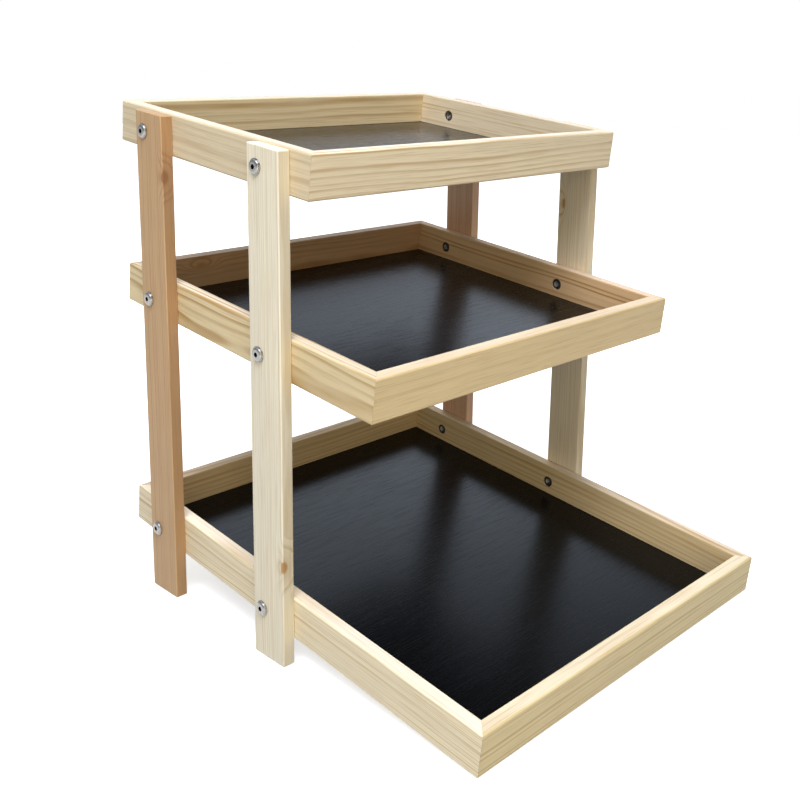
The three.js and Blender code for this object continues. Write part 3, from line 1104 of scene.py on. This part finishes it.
@dataclass
class Studio:
    """Floor, light and camera.

    The room that the gloss mirrors is grey near the floor, bright above that and dark towards the ceiling.
    Heights in it are measured along a way that leans. Its colours are linear, because the bright wall is
    brighter than white.
    """

    picture_px: float = 800.0
    sensor_mm: float = 36.0
    focal_px: float = 1057.62
    axis_row_px: float = 280.0
    azimuth: float = math.radians(-44.926)
    elevation: float = math.radians(12.187)
    roll: float = math.radians(0.715)
    aim: Vector = field(default_factory=lambda: Vector((0, 0, 0.22)))
    offset_right: float = -0.04154
    offset_up: float = 0.08227
    distance: float = 1.01208
    clip_end: float = 50.0
    floor_half: float = 6.0
    floor_drop: float = 0.0004
    floor_colour: str = "#f2f2f2"
    floor_roughness: float = 0.9
    glow_reach: Span = (0.4, 1.4)
    glow_power: Span = (0.66, 1.0)
    backdrop: str = "#ffffff"
    ambient: Colour = (0.26, 0.26, 0.26, 1)
    low_wall: Colour = (0.55, 0.6, 0.7, 1)
    bright_wall: Colour = (2.5, 2.85, 3.3, 1)
    ceiling: Colour = (0.05, 0.05, 0.06, 1)
    front_wall: Colour = (0.34, 0.34, 0.34, 1)
    rise: Point = (0.3, -0.3, 1)
    wall_span: Span = (0.36, 0.54)
    ceiling_span: Span = (0.575, 0.715)
    front_span: Span = (-0.1, 0.1)

    def add_camera(self) -> None:
        """Puts the camera where the photograph was taken from."""
        back = Vector((math.sin(self.azimuth) * math.cos(self.elevation),
                       -math.cos(self.azimuth) * math.cos(self.elevation), math.sin(self.elevation)))
        level = Vector((math.cos(self.azimuth), math.sin(self.azimuth), 0))
        upright = back.cross(level)
        right = math.cos(self.roll) * level + math.sin(self.roll) * upright
        up = math.cos(self.roll) * upright - math.sin(self.roll) * level
        place = self.aim + right * self.offset_right + up * self.offset_up + back * self.distance
        lens = bpy.data.cameras.new("photo_view")
        lens.sensor_width = self.sensor_mm
        lens.lens = self.focal_px / self.picture_px * self.sensor_mm
        lens.shift_y = self.axis_row_px / self.picture_px - 0.5
        lens.clip_end = self.clip_end
        camera = bpy.data.objects.new("photo_view", lens)
        camera.matrix_world = Matrix.Translation(place) @ Matrix((right, up, back)).transposed().to_4x4()
        bpy.context.collection.objects.link(camera)
        bpy.context.scene.camera = camera

    def add_floor(self) -> None:
        """Lays a plain white floor that stays light even in shade."""
        deselect_all()
        bpy.ops.mesh.primitive_plane_add(size=2 * self.floor_half, location=(0, 0, -self.floor_drop))
        floor = bpy.context.object
        floor.name = "floor"
        bpy.ops.object.transform_apply()
        material, tree = new_tree("white paper")
        place = add_node(tree, "TexCoord", output="Object")
        away = add_node(tree, "VectorMath", (place,), "Value", operation="LENGTH")
        glow = add_node(tree, "MapRange", (away, *self.glow_reach, *self.glow_power))
        end_tree(tree, {"Base Color": linear(self.floor_colour), "Roughness": self.floor_roughness,
                        "Emission Color": linear(self.backdrop), "Emission Strength": glow})
        floor.data.materials.append(material)
        floor.visible_diffuse = False

    def add_room(self) -> None:
        """Surrounds the stand with dim even light, a white backdrop and a room for the gloss to mirror."""
        world = bpy.data.worlds.new("studio")
        world.use_nodes = True
        tree = world.node_tree
        tree.nodes.clear()
        way = add_node(tree, "TexCoord", output="Generated")
        height = add_node(tree, "VectorMath", (way, self.rise), "Value", operation="DOT_PRODUCT")
        wall = add_node(tree, "MapRange", (height, *self.wall_span, 0.0, 1.0))
        top = add_node(tree, "MapRange", (height, *self.ceiling_span, 0.0, 1.0))
        ahead = add_node(tree, "SeparateXYZ", (way,), "Y")
        behind = add_node(tree, "MapRange", (ahead, *self.front_span, 0.0, 1.0))
        glossy = add_node(tree, "LightPath", output="Is Glossy Ray")
        direct = add_node(tree, "LightPath", output="Is Camera Ray")
        colour = self.low_wall
        for share, other in ((wall, self.bright_wall), (top, self.ceiling)):
            colour = add_node(tree, "Mix", (share, colour, other), **COLOUR_MIX)
        for share, other in ((behind, self.front_wall), (glossy, self.ambient)):
            colour = add_node(tree, "Mix", (share, other, colour), **COLOUR_MIX)
        seen = add_node(tree, "Mix", (direct, colour, linear(self.backdrop)), **COLOUR_MIX)
        sky = add_node(tree, "Background", {"Color": seen})
        add_node(tree, "OutputWorld", {"Surface": sky})
        bpy.context.scene.world = world
        bpy.context.scene.view_settings.view_transform = "Standard"

    def build(self) -> None:
        """Sets up the studio."""
        self.add_camera()
        self.add_floor()
        for softbox in SOFTBOXES:
            softbox.hang(self.aim)
        self.add_room()
        LOG.info("studio ready")


TRAY_BOARDS = {
    Tier.BOTTOM: {RailSpot.FRONT: Board(GrainCut.QUARTER, 130, "#e8d59f", 5.0, 0.7),
                  RailSpot.BACK: Board(GrainCut.RIFT, 900, "#dcbf8b", 5.0, 0.7),
                  RailSpot.LEFT: Board(GrainCut.QUARTER, 400, "#f8eac5", 2.4, 1.0),
                  RailSpot.RIGHT: Board(GrainCut.RIFT, 2100, "#d8c08f", 5.0, 0.8)},
    Tier.MIDDLE: {RailSpot.FRONT: Board(GrainCut.RIFT, 3300, "#ebd29c", 9.0, 0.4),
                  RailSpot.BACK: Board(GrainCut.FLAT, 4100, "#c49d70", 3.0, 0.6, (127.0, 12.7, 28.0)),
                  RailSpot.LEFT: Board(GrainCut.FLAT, 5200, "#e8d4a4", 3.4, 1.5),
                  RailSpot.RIGHT: Board(GrainCut.QUARTER, 6100, "#e0bc8a", 6.0, 1.0)},
    Tier.TOP: {RailSpot.FRONT: Board(GrainCut.RIFT, 7100, "#f0dfb8", 5.0, 0.8),
               RailSpot.BACK: Board(GrainCut.RIFT, 8300, "#e8d2a2", 8.0, 0.7),
               RailSpot.LEFT: Board(GrainCut.RIFT, 9100, "#e4d3ad", 7.0, 0.6),
               RailSpot.RIGHT: Board(GrainCut.QUARTER, 9900, "#e4d3ae", 6.0, 0.6)},
}
# A leg's last colour, where it has one, is painted shade on its front narrow face.
LEG_BOARDS = {
    (LegRow.FRONT, Side.LEFT): Board(GrainCut.QUARTER, 300, "#f7eed2", 3.2, 0.6, (92.0, -5.0, -19.5),
                                     "#e7dbbb"),
    (LegRow.FRONT, Side.RIGHT): Board(GrainCut.QUARTER, 1500, "#eadcbc", 3.2, 0.7, (357.0, -6.0, 13.0)),
    (LegRow.REAR, Side.LEFT): Board(GrainCut.QUARTER, 2600, "#c9a676", 2.6, 0.6, (403.0, -4.0, -20.0),
                                    "#b68e5f"),
    (LegRow.REAR, Side.RIGHT): Board(GrainCut.QUARTER, 3700, "#d3ab86", 2.6, 0.6),
}


def main() -> None:
    """Builds the stand piece by piece, then the studio."""
    logging.basicConfig(level=logging.INFO, format="%(message)s")
    sizes = StandSizes()
    pine, spruce, brown = PINE.material(), SPRUCE.material(), BROWN_PINE.material()
    satin, rubbed = SATIN_FOIL.material(), RUBBED_FOIL.material()
    for tier in Tier:
        tray = Tray(sizes, tier, TRAY_BOARDS[tier])
        tray.build()
        tray.dress(pine, rubbed if tier is Tier.TOP else satin)
    for (row, side), board in LEG_BOARDS.items():
        leg = Leg(sizes, row, side, board)
        leg.build()
        if row is LegRow.FRONT:
            leg.dress(spruce, "pale_leg")
        else:
            leg.dress(brown, "brown_leg")
    fixings = Fixings(sizes)
    fixings.build()
    fixings.dress([NICKEL.material(), SOCKET_SHADE_STEEL.material()], [ZINC.material(), SOCKET_HIGHLIGHT_ZINC.material()],
                  DowelFinish().material())
    Studio().build()


if __name__ == "__main__":
    main()
